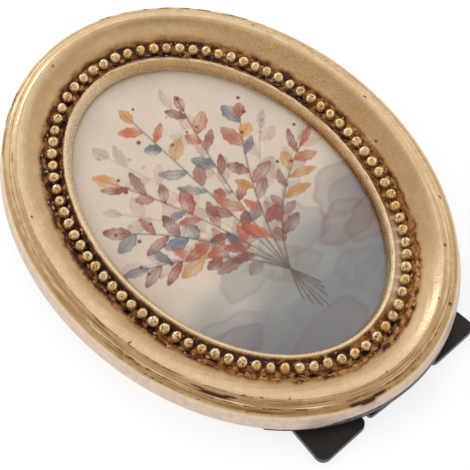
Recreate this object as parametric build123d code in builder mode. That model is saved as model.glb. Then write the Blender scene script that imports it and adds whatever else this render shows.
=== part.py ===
"""Oval picture frame for the table, lying on its back with the easel leg folded in.

Millimetres. +Z is up, out of the picture, +Y is the picture's top and +X its right.
The origin is under the middle of the oval, on the surface that the frame lies on.
The line through the middles of the beads is the oval that everything else is set out from:
distances named _OUT and _IN are measured from it, outwards and inwards.
"""

import os
from math import radians, tan

from build123d import *

# Oval of the bead line
OVAL_HALF_WIDTH = 56.1
OVAL_HALF_HEIGHT = 79.6

# Boards behind the moulding
STAND_THICK = 3.0
BACK_THICK = 3.0

# Moulding, heights of its face from the seat of the glass
WALL_OUT = 21.2
WALL_DRAFT = 1.2
WALL_HEIGHT = 4.7
REAR_BEVEL = 0.8
ROLL_SIZE = 0.6
ROLL_LEDGE = 0.5
SHOULDER_OUT = 16.4
SHOULDER_IN = 13.8
SHOULDER_HEIGHT = 8.0
SHOULDER_FALL = 1.0
SHOULDER_CROWN = 0.2
SHOULDER_EDGE = 0.3
OUTER_COVE_SAG = 0.4
COVE_SAG = 0.85
CHANNEL_OUT = 4.1
CHANNEL_IN = 4.0
CHANNEL_TOP = 4.5
CHANNEL_LIP = 4.7
LIP_RIDGE_WIDTH = 1.1
LIP_RIDGE_CROWN = 0.45
LIP_LINE_WIDTH = 0.5
LIP_LINE_CROWN = 0.15
SIGHT_IN = 7.4
SIGHT_EDGE = 0.6

# Beads
BEAD_RADIUS = 2.1
BEAD_HEIGHT = 5.05
BEAD_COUNT = 81
BEAD_START = 0.11
BEAD_SEAT = 0.08

# Rebate and what lies in it
REBATE_IN = 6.0
REBATE_FIT = 0.2
GLASS_THICK = 1.5
PRINT_THICK = 0.3
FILLER_THICK = 0.8

# Back board
BACK_SIDE_IN = 5.6
BACK_INSET = 1.0

# Stand board
STAND_SHIFT = -3.9
FOOT_SIDE_IN = 15.9
FOOT_OUT = 19.6
STAND_TOP_IN = 21.6
STAND_FLARE = 4.6
FOOT_OUTER_ROUND = 3.5
FOOT_INNER_ROUND = 3.0
STAND_TOP_ROUND = 6.0

# Easel leg, its width as a share of half the span of the feet
LEG_SHARE = 0.72
LEG_SIDE_GAP = 2.5
LEG_REST_GAP = 0.4
LEG_SHORT = 0.6
LEG_END_SAG = 0.8
LEG_CORNER = 1.5

# Hinge
HINGE_DROP = 30.0
BARREL_COVER = 0.2
BARREL_GAP = 0.35
PIN_RADIUS = 0.75
PIN_FIT = 0.04
LEAF_SIDE_IN = 2.5
LEAF_LENGTH = 14.0
LEAF_THICK = 0.8
LEAF_FIT = 0.15
LEAF_CORNER = 1.5
KNUCKLE_GAP = 0.2
RIVET_SIDE_IN = 5.0
RIVET_REACH = 8.5
RIVET_RADIUS = 1.1
RIVET_HEAD_RADIUS = 2.0
RIVET_HEAD_THICK = 0.4
RIVET_SHORT = 0.2

# Screws of the stand board
STAND_SCREW_EDGE = 5.5
STAND_SCREW_DROP = 10.0
STAND_SCREW_RISE = 37.2
STAND_SCREW_RADIUS = 1.4
STAND_SCREW_HEAD = 2.9
STAND_SCREW_SHORT = 0.8
SCREW_SINK = 0.05

# Turn buttons
BUTTON_STANDOFF = 9.5
BUTTON_Y = 24.0
BUTTON_THICK = 1.0
BUTTON_WIDTH = 7.0
BUTTON_BOSS = 4.5
BUTTON_REACH = 15.5
BUTTON_BEND_START = 5.2
BUTTON_BEND_END = 7.7
BUTTON_TIP_ROUND = 3.0
BUTTON_PLAY = 0.05
BUTTON_SCREW_RADIUS = 1.5
BUTTON_SCREW_HEAD = 2.8
BUTTON_SCREW_HEAD_THICK = 1.4
BUTTON_SCREW_GRIP = 5.0

# Shared fits
HOLE_FIT = 0.05
SEAT = 0.02
TRIM = 2.0

# Levels, upwards from the surface that the frame lies on
BACK_REAR = STAND_THICK
MOULDING_REAR = STAND_THICK + BACK_THICK
FILLER_REAR = MOULDING_REAR + SEAT
PRINT_REAR = FILLER_REAR + FILLER_THICK + SEAT
GLASS_REAR = PRINT_REAR + PRINT_THICK + SEAT
GLASS_SEAT = GLASS_REAR + GLASS_THICK + SEAT
BEAD_LEVEL = GLASS_SEAT + BEAD_HEIGHT

# Places that follow from the sizes above
FOOT_HALF_SPAN = OVAL_HALF_WIDTH - FOOT_SIDE_IN
FOOT_BOTTOM = -OVAL_HALF_HEIGHT - FOOT_OUT
STAND_TOP = OVAL_HALF_HEIGHT - STAND_TOP_IN
HINGE_Y = STAND_TOP - HINGE_DROP
LEG_BOTTOM = FOOT_BOTTOM + LEG_SHORT
LEG_THICK = STAND_THICK - LEG_REST_GAP
LEG_HALF = LEG_SHARE * FOOT_HALF_SPAN / 2
SLOT_HALF = LEG_HALF + LEG_SIDE_GAP
BARREL_RADIUS = (STAND_THICK - BARREL_COVER) / 2
BARREL_ROOM = BARREL_RADIUS + BARREL_GAP
SLOT_TOP = HINGE_Y + BARREL_ROOM
LEG_TOP = HINGE_Y - BARREL_ROOM
LEAF_WIDTH = 2 * (LEG_HALF - LEAF_SIDE_IN)
RIVET_SPACING = LEAF_WIDTH - 2 * RIVET_SIDE_IN
RIVET_LENGTH = LEG_THICK - RIVET_SHORT
STAND_SCREW_LENGTH = MOULDING_REAR - STAND_SCREW_SHORT
BACK_HALF = OVAL_HALF_WIDTH - BACK_SIDE_IN
BUTTON_X = BACK_HALF + BUTTON_STANDOFF
FACE_DOWN = Plane((STAND_SHIFT, 0, 0), x_dir=(1, 0, 0), z_dir=(0, 0, -1))


def save(part, name):
    """Label a finished piece and write it."""
    part.label = name
    export_step(part, f"parts/{name}.step")


def section_plane(level):
    """The upright plane at the right end of the oval: x outwards from the bead line, y up."""
    return Plane((OVAL_HALF_WIDTH, 0, level), x_dir=(1, 0, 0), z_dir=(0, -1, 0))


def bead_line(level):
    """The bead line, laid at the level given."""
    with BuildLine(Plane.XY.offset(level)) as oval:
        EllipticalCenterArc((0, 0), OVAL_HALF_WIDTH, OVAL_HALF_HEIGHT, 0, arc_size=360)
    return oval.edge()


def oval_board(out, rear, thick):
    """A flat board that lies on the level given, with its edge a steady distance out from the bead line."""
    with BuildPart() as board:
        with BuildSketch(Plane.XY.offset(rear)):
            Ellipse(OVAL_HALF_WIDTH + out + TRIM, OVAL_HALF_HEIGHT + out + TRIM)
        extrude(amount=thick)
        with BuildSketch(section_plane(rear)):
            with Locations((out, thick / 2)):
                Rectangle(2 * TRIM, 2 * thick, align=(Align.MIN, Align.CENTER))
        sweep(path=bead_line(rear), mode=Mode.SUBTRACT)
    return board.part


def face_down(x, y):
    """A place on the rear of the stand, for holes that go up into it."""
    return FACE_DOWN * Pos(x, -y, 0)


def stand_half(y):
    """Half the width of the stand board at a height on its sloping sides."""
    return FOOT_HALF_SPAN - (y - FOOT_BOTTOM) * tan(radians(STAND_FLARE))


def stand_screw_places():
    """Where the four screws of the stand board go in, from its middle line."""
    rows = (STAND_TOP - STAND_SCREW_DROP, FOOT_BOTTOM + STAND_SCREW_RISE)
    return [(side * (stand_half(y) - STAND_SCREW_EDGE), y) for y in rows for side in (-1, 1)]


def rivet_places(side):
    """Where a leaf's rivets go: side is 1 above the pin and -1 below it."""
    return [(x, HINGE_Y + side * RIVET_REACH) for x in (-RIVET_SPACING / 2, RIVET_SPACING / 2)]


os.makedirs("parts", exist_ok=True)

# Moulding: one section carried round the bead line, with its heights taken from the seat of the glass
rear = MOULDING_REAR - GLASS_SEAT
wall_top = WALL_OUT - WALL_DRAFT
roll_top = WALL_HEIGHT + ROLL_SIZE
ledge_in = wall_top - ROLL_SIZE - ROLL_LEDGE
shoulder_rim = SHOULDER_HEIGHT - SHOULDER_FALL
channel_floor = BEAD_HEIGHT - BEAD_RADIUS - BEAD_SEAT
ridge_in = -CHANNEL_IN - LIP_RIDGE_WIDTH
line_in = ridge_in - LIP_LINE_WIDTH
button_screws = [(side * BUTTON_X, level * BUTTON_Y) for level in (1, -1) for side in (-1, 1)]

with BuildPart() as moulding:
    with BuildSketch(section_plane(GLASS_SEAT)):
        with BuildLine():
            back = Polyline(
                (-REBATE_IN, rear),
                (WALL_OUT - REAR_BEVEL, rear),
                (WALL_OUT, rear + REAR_BEVEL),
                (wall_top, WALL_HEIGHT),
            )
            roll = RadiusArc(back @ 1, (wall_top - ROLL_SIZE, roll_top), -ROLL_SIZE)
            ledge = Line(roll @ 1, (ledge_in, roll_top))
            outer_cove = SagittaArc(ledge @ 1, (SHOULDER_OUT, shoulder_rim - SHOULDER_EDGE), OUTER_COVE_SAG)
            rim = Line(outer_cove @ 1, (SHOULDER_OUT, shoulder_rim))
            crown = SagittaArc(rim @ 1, (SHOULDER_IN, SHOULDER_HEIGHT), -SHOULDER_CROWN)
            brow = Line(crown @ 1, (SHOULDER_IN, SHOULDER_HEIGHT - SHOULDER_EDGE))
            cove = SagittaArc(brow @ 1, (CHANNEL_OUT, CHANNEL_TOP), COVE_SAG)
            channel = ThreePointArc(cove @ 1, (0, channel_floor), (-CHANNEL_IN, CHANNEL_LIP))
            ridge = SagittaArc(channel @ 1, (ridge_in, CHANNEL_LIP), -LIP_RIDGE_CROWN)
            fine_ridge = SagittaArc(ridge @ 1, (line_in, CHANNEL_LIP), -LIP_LINE_CROWN)
            Polyline(
                fine_ridge @ 1,
                (-SIGHT_IN, SIGHT_EDGE),
                (-SIGHT_IN, 0),
                (-REBATE_IN, 0),
                (-REBATE_IN, rear),
            )
        make_face()
    sweep(path=bead_line(GLASS_SEAT))
    with Locations(*[Plane((x, y, MOULDING_REAR), z_dir=(0, 0, -1)) for x, y in button_screws]):
        Hole(BUTTON_SCREW_RADIUS + HOLE_FIT, depth=BUTTON_SCREW_GRIP)
save(moulding.part, "moulding")

# Beads: equal steps along the bead line, resting on the floor of the channel
bead_middles = bead_line(BEAD_LEVEL)
bead_step = bead_middles.length / BEAD_COUNT
bead_places = [
    bead_middles.position_at((i + BEAD_START) * bead_step, position_mode=PositionMode.LENGTH)
    for i in range(BEAD_COUNT)
]
with BuildPart() as bead_row:
    with Locations(*bead_places):
        Sphere(BEAD_RADIUS)
save(bead_row.part, "bead_row")

# What lies in the rebate, from the front: glass, print, filler card
pane_out = -REBATE_IN - REBATE_FIT
save(oval_board(pane_out, GLASS_REAR, GLASS_THICK), "glass")
save(oval_board(pane_out, PRINT_REAR, PRINT_THICK), "print")
save(oval_board(pane_out, FILLER_REAR, FILLER_THICK), "filler_card")

# Back board: ends that follow the moulding, straight sides that leave room for the turn buttons
with BuildPart() as back_board:
    add(oval_board(WALL_OUT - BACK_INSET, BACK_REAR, BACK_THICK))
    with BuildSketch(Plane.XY.offset(BACK_REAR)):
        Rectangle(2 * BACK_HALF, 2 * (OVAL_HALF_HEIGHT + WALL_OUT))
    extrude(amount=BACK_THICK, mode=Mode.INTERSECT)
    with Locations(*[face_down(x, y) * Pos(0, 0, -BACK_REAR) for x, y in stand_screw_places()]):
        Hole(STAND_SCREW_RADIUS + HOLE_FIT, depth=STAND_SCREW_LENGTH + SEAT - BACK_REAR)
save(back_board.part, "back_board")

# Stand board: two feet, and a slot between them for the leg
pocket_length = LEAF_LENGTH - BARREL_ROOM + LEAF_FIT
with BuildPart() as stand_board:
    with BuildSketch(Plane.XY.offset(0)) as stand_outline:
        with BuildLine():
            Polyline(
                (STAND_SHIFT - FOOT_HALF_SPAN, FOOT_BOTTOM),
                (STAND_SHIFT + FOOT_HALF_SPAN, FOOT_BOTTOM),
                (STAND_SHIFT + stand_half(STAND_TOP), STAND_TOP),
                (STAND_SHIFT - stand_half(STAND_TOP), STAND_TOP),
                close=True,
            )
        make_face()
        fillet(stand_outline.vertices().group_by(Axis.Y)[0], FOOT_OUTER_ROUND)
        fillet(stand_outline.vertices().group_by(Axis.Y)[-1], STAND_TOP_ROUND)
        with Locations((STAND_SHIFT, SLOT_TOP)):
            Rectangle(
                2 * SLOT_HALF,
                SLOT_TOP - FOOT_BOTTOM,
                align=(Align.CENTER, Align.MAX),
                mode=Mode.SUBTRACT,
            )
        slot_mouth = stand_outline.vertices().group_by(Axis.Y)[0].sort_by(Axis.X)[1:-1]
        fillet(slot_mouth, FOOT_INNER_ROUND)
    extrude(amount=STAND_THICK)
    with BuildSketch(Plane.XY):
        with Locations((STAND_SHIFT, SLOT_TOP)):
            Rectangle(LEAF_WIDTH + 2 * LEAF_FIT, pocket_length, align=(Align.CENTER, Align.MIN))
    extrude(amount=LEAF_THICK + SEAT, mode=Mode.SUBTRACT)
    with Locations(*[face_down(x, y) for x, y in rivet_places(1)]):
        Hole(RIVET_RADIUS + HOLE_FIT)
    with Locations(*[face_down(x, y) for x, y in stand_screw_places()]):
        CounterSinkHole(STAND_SCREW_RADIUS + HOLE_FIT, STAND_SCREW_HEAD + HOLE_FIT, counter_sink_angle=90)
save(stand_board.part, "stand_board")

# Countersunk screws, from the rear of the stand board into the back board
with BuildPart() as stand_screws:
    for x, y in stand_screw_places():
        with BuildSketch(Plane((STAND_SHIFT + x, y, SCREW_SINK), x_dir=(1, 0, 0), z_dir=(0, -1, 0))):
            with BuildLine():
                Polyline(
                    (0, 0),
                    (STAND_SCREW_HEAD - SCREW_SINK, 0),
                    (STAND_SCREW_RADIUS, STAND_SCREW_HEAD - STAND_SCREW_RADIUS - SCREW_SINK),
                    (STAND_SCREW_RADIUS, STAND_SCREW_LENGTH - STAND_SCREW_RADIUS),
                    (0, STAND_SCREW_LENGTH - SCREW_SINK),
                    close=True,
                )
            make_face()
        revolve(axis=Axis((STAND_SHIFT + x, y, 0), (0, 0, 1)))
save(stand_screws.part, "stand_screws")

# Easel leg: fills the slot, with a gently bowed end
with BuildPart() as easel_leg:
    with BuildSketch(Plane.XY) as leg_outline:
        with BuildLine():
            left, right = STAND_SHIFT - LEG_HALF, STAND_SHIFT + LEG_HALF
            end = SagittaArc(
                (left, LEG_BOTTOM + LEG_END_SAG), (right, LEG_BOTTOM + LEG_END_SAG), -LEG_END_SAG
            )
            Polyline(end @ 1, (right, LEG_TOP), (left, LEG_TOP), end @ 0)
        make_face()
        fillet(leg_outline.vertices(), LEG_CORNER)
    extrude(amount=LEG_THICK)
    with BuildSketch(Plane.XY):
        with Locations((STAND_SHIFT, LEG_TOP)):
            Rectangle(LEAF_WIDTH + 2 * LEAF_FIT, pocket_length, align=(Align.CENTER, Align.MAX))
    extrude(amount=LEAF_THICK + SEAT, mode=Mode.SUBTRACT)
    with Locations(*[face_down(x, y) for x, y in rivet_places(-1)]):
        Hole(RIVET_RADIUS + HOLE_FIT)
save(easel_leg.part, "easel_leg")

# Hinge: a leaf each side of the pin, with knuckles that share it
knuckle_step = LEAF_WIDTH / 3
knuckle_length = knuckle_step - KNUCKLE_GAP
pin_line = (STAND_SHIFT, HINGE_Y, BARREL_RADIUS)


def hinge_leaf(side, knuckles):
    """A leaf on one side of the pin, rolled round it at the knuckles given."""
    with BuildPart() as leaf:
        with BuildSketch(Plane.XY) as leaf_outline:
            with Locations((STAND_SHIFT, HINGE_Y + side * BARREL_ROOM)):
                Rectangle(
                    LEAF_WIDTH,
                    LEAF_LENGTH - BARREL_ROOM,
                    align=(Align.CENTER, Align.MIN if side > 0 else Align.MAX),
                )
            far_end = leaf_outline.vertices().group_by(Axis.Y)[-1 if side > 0 else 0]
            fillet(far_end, LEAF_CORNER)
            for k in knuckles:
                with Locations((STAND_SHIFT + k * knuckle_step, HINGE_Y)):
                    Rectangle(
                        knuckle_length,
                        BARREL_ROOM + LEAF_FIT,
                        align=(Align.CENTER, Align.MIN if side > 0 else Align.MAX),
                    )
        extrude(amount=LEAF_THICK)
        for k in knuckles:
            with BuildSketch(Plane(pin_line, z_dir=(1, 0, 0)).offset(k * knuckle_step)):
                Circle(BARREL_RADIUS)
            extrude(amount=knuckle_length / 2, both=True)
        with BuildSketch(Plane(pin_line, z_dir=(1, 0, 0))):
            Circle(PIN_RADIUS + PIN_FIT)
        extrude(amount=LEAF_WIDTH, both=True, mode=Mode.SUBTRACT)
        with Locations(*[face_down(x, y) for x, y in rivet_places(side)]):
            CounterBoreHole(
                RIVET_RADIUS + HOLE_FIT, RIVET_HEAD_RADIUS + HOLE_FIT, RIVET_HEAD_THICK + SEAT
            )
    return leaf.part


def leaf_rivets(side):
    """The flush rivets of one leaf."""
    with BuildPart() as rivets:
        for x, y in rivet_places(side):
            with BuildSketch(Plane((STAND_SHIFT + x, y, 0))):
                Circle(RIVET_HEAD_RADIUS)
            extrude(amount=RIVET_HEAD_THICK)
            with BuildSketch(Plane((STAND_SHIFT + x, y, 0))):
                Circle(RIVET_RADIUS)
            extrude(amount=RIVET_LENGTH)
    return rivets.part


save(hinge_leaf(1, (-1, 1)), "hinge_fixed_leaf")
save(hinge_leaf(-1, (0,)), "hinge_leg_leaf")
save(leaf_rivets(1), "hinge_fixed_rivets")
save(leaf_rivets(-1), "hinge_leg_rivets")
with BuildPart() as hinge_pin:
    with BuildSketch(Plane(pin_line, z_dir=(1, 0, 0))):
        Circle(PIN_RADIUS)
    extrude(amount=LEAF_WIDTH / 2, both=True)
save(hinge_pin.part, "hinge_pin")

# Turn buttons: a boss against the moulding, bent down so that the arm lies over the back board
boss_top = MOULDING_REAR - BUTTON_PLAY
arm_top = BACK_REAR - BUTTON_PLAY


def turn_button(side, level):
    """A turn button whose arm points at the middle of the frame."""
    x, y = side * BUTTON_X, level * BUTTON_Y
    with BuildPart() as button:
        side_view = Plane((x, y, 0), x_dir=(-side, 0, 0), z_dir=(0, side, 0))
        with BuildSketch(side_view):
            with BuildLine():
                Polyline(
                    (0, boss_top),
                    (BUTTON_BEND_START, boss_top),
                    (BUTTON_BEND_END, arm_top),
                    (BUTTON_REACH, arm_top),
                    (BUTTON_REACH, arm_top - BUTTON_THICK),
                    (BUTTON_BEND_END - BUTTON_THICK / 2, arm_top - BUTTON_THICK),
                    (BUTTON_BEND_START - BUTTON_THICK / 2, boss_top - BUTTON_THICK),
                    (0, boss_top - BUTTON_THICK),
                    close=True,
                )
            make_face()
        extrude(amount=BUTTON_WIDTH / 2, both=True)
        tip = button.edges().filter_by(Axis.Z).group_by(Axis.X)[0 if side > 0 else -1]
        fillet(tip, BUTTON_TIP_ROUND)
        with BuildSketch(Plane((x, y, boss_top - BUTTON_THICK))):
            Circle(BUTTON_BOSS)
        extrude(amount=BUTTON_THICK)
        with Locations(Plane((x, y, boss_top - BUTTON_THICK), z_dir=(0, 0, -1))):
            Hole(BUTTON_SCREW_RADIUS + HOLE_FIT)
    return button.part


for level, row in ((1, "upper"), (-1, "lower")):
    for side, hand in ((-1, "left"), (1, "right")):
        save(turn_button(side, level), f"turn_button_{row}_{hand}")

head_top = boss_top - BUTTON_THICK - BUTTON_PLAY
with BuildPart() as turn_button_screws:
    for x, y in button_screws:
        with BuildSketch(Plane((x, y, head_top - BUTTON_SCREW_HEAD_THICK))):
            Circle(BUTTON_SCREW_HEAD)
        extrude(amount=BUTTON_SCREW_HEAD_THICK)
        with BuildSketch(Plane((x, y, head_top))):
            Circle(BUTTON_SCREW_RADIUS)
        extrude(amount=MOULDING_REAR + BUTTON_SCREW_GRIP - SEAT - head_top)
    head_rims = turn_button_screws.edges().filter_by(GeomType.CIRCLE).group_by(Axis.Z)[0]
    fillet(head_rims, BUTTON_SCREW_HEAD_THICK / 2)
save(turn_button_screws.part, "turn_button_screws")
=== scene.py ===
import math

import bpy
import numpy as np
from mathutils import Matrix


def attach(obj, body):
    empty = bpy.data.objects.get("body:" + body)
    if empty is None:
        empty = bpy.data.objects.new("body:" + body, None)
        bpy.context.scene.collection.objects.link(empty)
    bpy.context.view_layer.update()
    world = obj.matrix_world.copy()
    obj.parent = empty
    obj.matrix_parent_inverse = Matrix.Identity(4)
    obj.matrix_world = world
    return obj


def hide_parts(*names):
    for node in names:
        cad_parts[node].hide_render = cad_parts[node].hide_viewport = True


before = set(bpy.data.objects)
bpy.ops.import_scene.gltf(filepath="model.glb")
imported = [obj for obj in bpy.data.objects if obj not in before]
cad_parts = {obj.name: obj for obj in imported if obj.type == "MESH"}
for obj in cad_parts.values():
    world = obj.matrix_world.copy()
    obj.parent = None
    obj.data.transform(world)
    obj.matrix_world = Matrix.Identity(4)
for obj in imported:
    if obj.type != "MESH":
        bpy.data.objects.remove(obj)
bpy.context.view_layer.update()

MM = 0.001

# Sizes in millimetres that the surfaces share with the part's source
OVAL_HALF_WIDTH, OVAL_HALF_HEIGHT = 56.1, 79.6
BEAD_COUNT, BEAD_START, BEAD_RADIUS, BEAD_LEVEL = 81, 0.11, 2.1, 13.73
PRINT_OUT, PRINT_REAR, PRINT_THICK = -6.2, 6.84, 0.3

# Counts of the grids
ROUND_STEPS, SECTION_STEPS = 940, 106
BEAD_ROUND, BEAD_RISE = 22, 13
PRINT_ACROSS, PRINT_UP = 238, 348


def linear(code):
    """An sRGB hex colour as linear RGBA."""
    part = np.array([int(code[i:i + 2], 16) for i in (1, 3, 5)]) / 255
    part = np.where(part <= 0.04045, part / 12.92, ((part + 0.055) / 1.055) ** 2.4)
    return (*part.tolist(), 1.0)


def add(tree, kind, inputs=None, **settings):
    """Adds a node: settings are its properties, inputs are values or other nodes' sockets by name or number."""
    node = tree.nodes.new(kind)
    for name, value in settings.items():
        setattr(node, name, value)
    for key, value in (inputs or {}).items():
        if isinstance(value, bpy.types.NodeSocket):
            tree.links.new(value, node.inputs[key])
        else:
            node.inputs[key].default_value = value
    return node


def new_material(name):
    """An empty node material with its output, and the tree to add to."""
    material = bpy.data.materials.new(name)
    material.use_nodes = True
    material.node_tree.nodes.clear()
    return material, material.node_tree


def smooth(low, high, value):
    """The soft step that goes from 0 at low to 1 at high as 3t^2 - 2t^3."""
    t = np.clip((value - low) / (high - low), 0, 1)
    return t * t * (3 - 2 * t)


def ripple(rng, u, v, most_u, most_v, waves):
    """Unevenness over u and v, both in turns: a sum of sine waves with whole numbers of periods, up to most_u and
    most_v, each with a random phase, divided so that it stays about within -1 and 1. It has no seam."""
    periods = np.stack([rng.integers(-most_u, most_u + 1, waves), rng.integers(-most_v, most_v + 1, waves)], -1)
    phase = rng.uniform(0, 2 * np.pi, waves)
    total = np.zeros(np.broadcast(u, v).shape)
    for (m, n), p in zip(periods, phase):
        total = total + np.sin(2 * np.pi * (m * u + n * v) + p)
    return total / math.sqrt(waves)


def make_piece(name, points, faces, material, body, attributes=None, colours=None):
    """A mesh object from whole arrays: points in millimetres, quads or longer faces, one number or colour a point."""
    mesh = bpy.data.meshes.new(name)
    mesh.from_pydata(points * MM, [], faces)
    for key, values in (attributes or {}).items():
        mesh.attributes.new(key, "FLOAT", "POINT").data.foreach_set("value", values.astype(np.float32).ravel())
    for key, values in (colours or {}).items():
        full = np.concatenate([values, np.ones((len(values), 1))], 1).astype(np.float32)
        mesh.attributes.new(key, "FLOAT_COLOR", "POINT").data.foreach_set("color", full.ravel())
    mesh.polygons.foreach_set("use_smooth", np.ones(len(mesh.polygons), bool))
    mesh.materials.append(material)
    mesh.update()
    piece = bpy.data.objects.new(name, mesh)
    bpy.context.scene.collection.objects.link(piece)
    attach(piece, body)
    return piece


def grid_faces(rows, columns, close_rows, close_columns):
    """Quads between neighbouring points of a grid that is stored row by row, wrapped round where a way is closed."""
    i, j = np.meshgrid(
        np.arange(rows if close_rows else rows - 1),
        np.arange(columns if close_columns else columns - 1),
        indexing="ij",
    )
    k, m = (i + 1) % rows, (j + 1) % columns
    quads = np.stack([i * columns + j, k * columns + j, k * columns + m, i * columns + m], -1)
    return quads.reshape(-1, 4)


def even_oval(shares):
    """Places on the bead line by their share of its length: the ellipse x = a cos t, y = b sin t, with t read back
    from the running sum of the arc's length. Returns t, the points and the outward unit normals."""
    fine = np.linspace(0, 2 * np.pi, 20001)
    speed = np.hypot(OVAL_HALF_WIDTH * np.sin(fine), OVAL_HALF_HEIGHT * np.cos(fine))
    run = np.concatenate([[0], np.cumsum((speed[1:] + speed[:-1]) / 2 * np.diff(fine))])
    t = np.interp(shares * run[-1], run, fine)
    places = np.stack([OVAL_HALF_WIDTH * np.cos(t), OVAL_HALF_HEIGHT * np.sin(t)], -1)
    out = np.stack([OVAL_HALF_HEIGHT * np.cos(t), OVAL_HALF_WIDTH * np.sin(t)], -1)
    return t, places, out / np.linalg.norm(out, axis=1, keepdims=True)


def bow(start, end, rise, count=40):
    """Points from start up to end, left out, on the parabola that stands rise off the middle of the chord,
    to the left of the way it goes."""
    t = np.linspace(0, 1, count, endpoint=False)[:, None]
    start, end = np.array(start, float), np.array(end, float)
    run = end - start
    left = np.array([-run[1], run[0]]) / np.hypot(*run)
    return start + t * run + 4 * rise * t * (1 - t) * left


def moulding_section(count):
    """The moulding's section as a closed line of points (distance out from the bead line, height), the same as the
    solid's: straight runs and bows joined, softened by a running mean as a casting's edges are, then read again with
    points closer together where the line turns and further apart under the frame."""
    corners = [
        ((-6.0, 6.0), (20.4, 6.0), 0), ((20.4, 6.0), (21.2, 6.8), 0), ((21.2, 6.8), (20.0, 13.38), 0),
        ((20.0, 13.38), (19.4, 13.98), -0.17), ((19.4, 13.98), (18.9, 13.98), 0), ((18.9, 13.98), (16.4, 15.38), 0.4),
        ((16.4, 15.38), (16.4, 15.68), 0), ((16.4, 15.68), (13.8, 16.68), -0.2), ((13.8, 16.68), (13.8, 16.38), 0),
        ((13.8, 16.38), (4.1, 13.18), 0.85), ((4.1, 13.18), (-4.0, 13.38), 1.73),
        ((-4.0, 13.38), (-5.1, 13.38), -0.45), ((-5.1, 13.38), (-5.6, 13.38), -0.15),
        ((-5.6, 13.38), (-7.4, 9.28), 0), ((-7.4, 9.28), (-7.4, 8.68), 0), ((-7.4, 8.68), (-6.0, 8.68), 0),
        ((-6.0, 8.68), (-6.0, 6.0), 0),
    ]
    line = np.concatenate([bow(*corner) for corner in corners])
    line = np.concatenate([line, line[:1]])
    run = np.concatenate([[0], np.cumsum(np.hypot(*np.diff(line, axis=0).T))])
    even = np.linspace(0, run[-1], 3000, endpoint=False)
    fine = np.stack([np.interp(even, run, line[:, k]) for k in (0, 1)], -1)
    spread = np.fft.rfftfreq(len(even), run[-1] / len(even))
    keep = np.exp(-2 * (np.pi * spread * 0.13) ** 2)[:, None]
    fine = np.fft.irfft(np.fft.rfft(fine, axis=0) * keep, len(even), axis=0)
    ahead = np.roll(fine, -8, 0) - fine
    behind = fine - np.roll(fine, 8, 0)
    turn = np.abs(np.arctan2(ahead[:, 0] * behind[:, 1] - ahead[:, 1] * behind[:, 0], (ahead * behind).sum(1)))
    hidden = (fine[:, 1] < 8.7) & (fine[:, 0] < 20)
    weight = np.where(hidden, 0.12, 0.55 + 2.2 * np.minimum(turn, 0.8))
    share = np.concatenate([[0], np.cumsum(weight)]) / weight.sum()
    pick = np.interp(np.arange(count) / count, share, np.arange(len(even) + 1))
    ring = np.concatenate([fine, fine[:1]])
    return np.stack([np.interp(pick, np.arange(len(ring)), ring[:, k]) for k in (0, 1)], -1)


# Sooty places on the gilding: turn round the oval in degrees, distance out, half length and half width in mm
SOOT_MARKS = [
    (-142.0, 15.7, 4.4, 0.6), (-146.5, 15.2, 2.4, 0.22), (-138.0, 15.1, 2.0, 0.3),
    (-106.0, 18.4, 2.2, 0.6), (-103.0, 18.9, 2.6, 0.9), (-99.5, 18.2, 2.4, 0.55),
    (-2.5, 14.6, 0.5, 0.35), (-13.8, 6.6, 0.5, 0.4), (-50.7, 14.5, 0.5, 0.4), (-66.9, 18.0, 0.5, 0.5),
    (-134.8, 13.4, 0.4, 0.5), (-130.3, 13.0, 0.5, 0.35), (-122.9, 12.6, 0.3, 0.4), (-94.8, 13.4, 0.3, 0.4),
    (-166.8, 12.4, 0.3, 0.8), (126.0, 19.3, 5.0, 0.12), (113.0, 19.3, 4.0, 0.12), (131.5, 15.3, 2.0, 0.2),
    (34.0, 16.9, 0.3, 0.7), (29.4, 16.6, 0.25, 0.5), (-160.0, 19.4, 3.0, 0.12), (-67.0, 13.5, 0.3, 0.35),
    (-36.0, 17.4, 0.5, 0.3), (98.0, 12.6, 0.4, 0.3), (150.0, 12.2, 0.4, 0.3), (-175.0, 14.2, 2.5, 0.15),
]
# Creases where the wash has stayed as a fine line: distance out, half width, turn and half length in degrees, weight
CREASES = [
    (13.6, 0.2, -150, 60, 0.85), (18.85, 0.18, -135, 65, 0.85), (19.5, 0.4, 57, 30, 0.85), (16.75, 0.2, -130, 65, 0.8),
    (19.45, 0.35, 118, 15, 0.8), (16.45, 0.3, 119, 14, 0.85), (-5.15, 0.16, 30, 150, 0.7), (-5.75, 0.16, 60, 80, 0.4),
]
# Bands where the outer cove is darker and browner, in the same order
OUTER_COVE_DARKER = [(17.3, 0.8, -135, 40, 0.28), (16.6, 1.0, -68, 22, 0.55), (16.7, 1.1, 160, 24, 0.5)]
# Painted highlights: places on the cove painted paler, in the same order
PAINTED_HIGHLIGHTS = [(8.2, 2.6, -68, 20, 0.5), (9.2, 2.4, 66, 26, 0.3), (12.4, 1.4, 112, 30, 0.4), (7.5, 3.0, 130, 40, 0.15)]
# How strong the painted brown shade is at the foot of the slope down to the glass, by the turn in degrees
FOOT_SHADE = [(-180, 0.3), (-60, 0.4), (-35, 1.0), (0, 0.9), (30, 0.6), (70, 0.3), (110, 0.2), (180, 0.3)]
# How coarse the sandy grain is, and how far the shoulder is brushed instead of rubbed, with painted dark reflections
# and painted highlights in streaks along it, by the turn in degrees
SAND = [(-180, 0.15), (-90, 0.15), (-40, 0.5), (10, 1.0), (40, 0.9), (68, 0.5), (130, 0.4), (180, 0.15)]
BRUSHED = [(-180, 1.0), (-95, 1.0), (-60, 0.5), (-20, 0.3), (130, 0.4), (160, 0.9), (180, 1.0)]
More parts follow.
